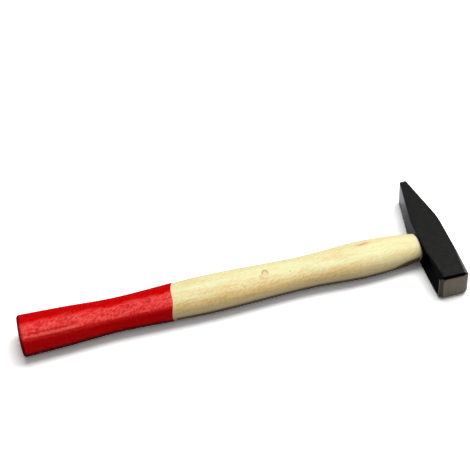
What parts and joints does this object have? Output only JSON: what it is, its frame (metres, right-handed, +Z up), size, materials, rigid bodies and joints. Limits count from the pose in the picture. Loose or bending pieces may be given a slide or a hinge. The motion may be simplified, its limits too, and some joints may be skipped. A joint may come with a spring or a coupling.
{
  "type": "fitter's hammer",
  "caption": "Cross-pein fitter's hammer: black forged steel head wedged on a double-curved oval ash handle with a dip-coated red grip, lying on its side.",
  "frame": {"origin": "middle of the box that the lying hammer covers, on the surface that it lies on", "axes": "+X from the butt towards the head, +Y towards the pein, +Z up from the surface"},
  "size_m": [0.2804, 0.095, 0.0228],
  "materials": {
    "black_lacquered_forging": "black lacquer over a smooth forged surface, with a ground striking face",
    "ash": "sanded and waxed pale ash",
    "red_dip_coat": "glossy red dip lacquer",
    "beech": "cut end grain",
    "wedge_steel": "bright cut steel"
  },
  "bodies": {
    "root": {"hammer_head": "black_lacquered_forging", "handle": "ash", "timber_wedge": "beech", "steel_wedge_face_side": "wedge_steel", "steel_wedge_pein_side": "wedge_steel", "grip_coat": "red_dip_coat"}
  },
  "joints": []
}
